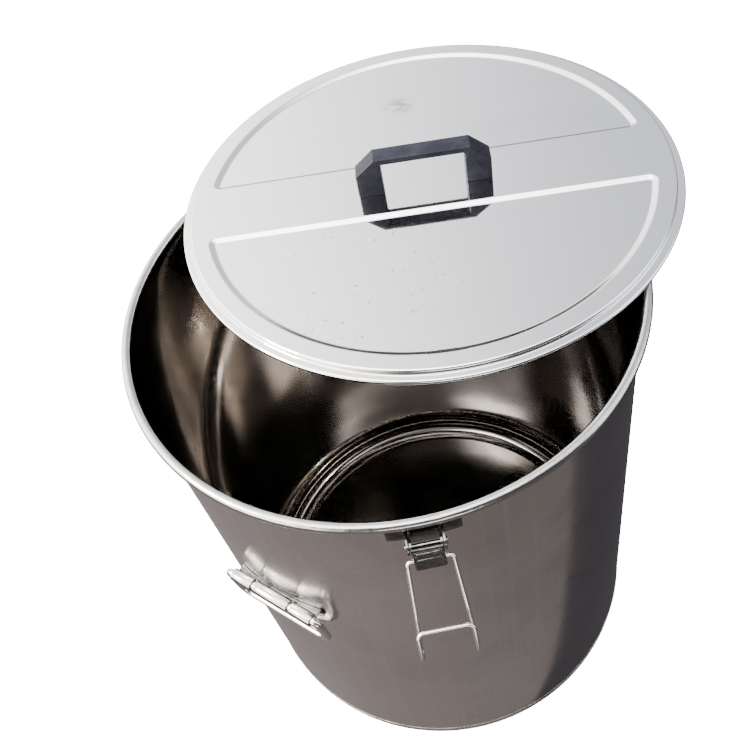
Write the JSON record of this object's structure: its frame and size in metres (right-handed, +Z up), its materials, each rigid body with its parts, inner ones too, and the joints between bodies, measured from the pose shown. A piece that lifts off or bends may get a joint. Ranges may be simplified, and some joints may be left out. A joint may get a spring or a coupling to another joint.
{
  "type": "milk can",
  "caption": "Tall round stainless-steel can with a curled rim, a loose pressed lid with a bridge handle, over-centre wire-bail latches and folding side handles, for carrying and storing milk.",
  "frame": {"origin": "centre of the can's flat underside, on the can's axis", "axes": "+Z up along the can's axis, -Y towards the front latch, +X to the right of someone facing the front latch"},
  "size_m": [0.5316, 0.6432, 0.6035],
  "materials": {
    "brushed_sheet": "satin stainless sheet, faint grain round the can",
    "polished_sheet": "bright polished stainless sheet",
    "bright_wire": "bright drawn stainless wire",
    "pressed_fitting": "pressed stainless fitting, satin",
    "black_plastic": "satin moulded plastic",
    "white_silicone": "soft translucent silicone"
  },
  "bodies": {
    "can": {"barrel_wall": "brushed_sheet", "floor_pan": "brushed_sheet", "rim_wire": "bright_wire", "latch_base_front": "pressed_fitting", "latch_base_rear": "pressed_fitting", "latch_pin_front": "bright_wire", "latch_pin_rear": "bright_wire", "side_plate_left": "pressed_fitting", "side_plate_right": "pressed_fitting"},
    "lid": {"lid_pan": "polished_sheet", "lid_seal": "white_silicone", "lid_grip": "black_plastic", "grip_washer_left": "bright_wire", "grip_washer_right": "bright_wire", "grip_screw_left": "bright_wire", "grip_screw_right": "bright_wire"},
    "front_lever": {"latch_lever_front": "pressed_fitting"},
    "front_bail": {"latch_bail_front": "bright_wire"},
    "rear_lever": {"latch_lever_rear": "pressed_fitting"},
    "rear_bail": {"latch_bail_rear": "bright_wire"},
    "left_handle": {"side_ring_left": "bright_wire"},
    "right_handle": {"side_ring_right": "bright_wire"}
  },
  "joints": [
    {"name": "lid_lift", "type": "slide", "parent": "can", "child": "lid", "axis": [0, 0, 1], "range_m": [0, 0.25]},
    {"name": "front_lever_hinge", "type": "hinge", "parent": "can", "child": "front_lever", "pos_m": [0, -0.238, 0.533], "axis": [-1, 0, 0], "range_deg": [0, 135]},
    {"name": "front_bail_hinge", "type": "hinge", "parent": "front_lever", "child": "front_bail", "pos_m": [0, -0.239, 0.511], "axis": [1, 0, 0], "range_deg": [-146, 32]},
    {"name": "rear_lever_hinge", "type": "hinge", "parent": "can", "child": "rear_lever", "pos_m": [0, 0.238, 0.533], "axis": [1, 0, 0], "range_deg": [0, 85]},
    {"name": "rear_bail_hinge", "type": "hinge", "parent": "rear_lever", "child": "rear_bail", "pos_m": [0, 0.239, 0.511], "axis": [-1, 0, 0], "range_deg": [-100, 2]},
    {"name": "left_handle_hinge", "type": "hinge", "parent": "can", "child": "left_handle", "pos_m": [-0.15472, -0.17488, 0.367], "axis": [-0.749, 0.6626, 0], "range_deg": [0, 180]},
    {"name": "right_handle_hinge", "type": "hinge", "parent": "can", "child": "right_handle", "pos_m": [0.15472, 0.17488, 0.367], "axis": [0.749, -0.6626, 0], "range_deg": [0, 180]}
  ]
}
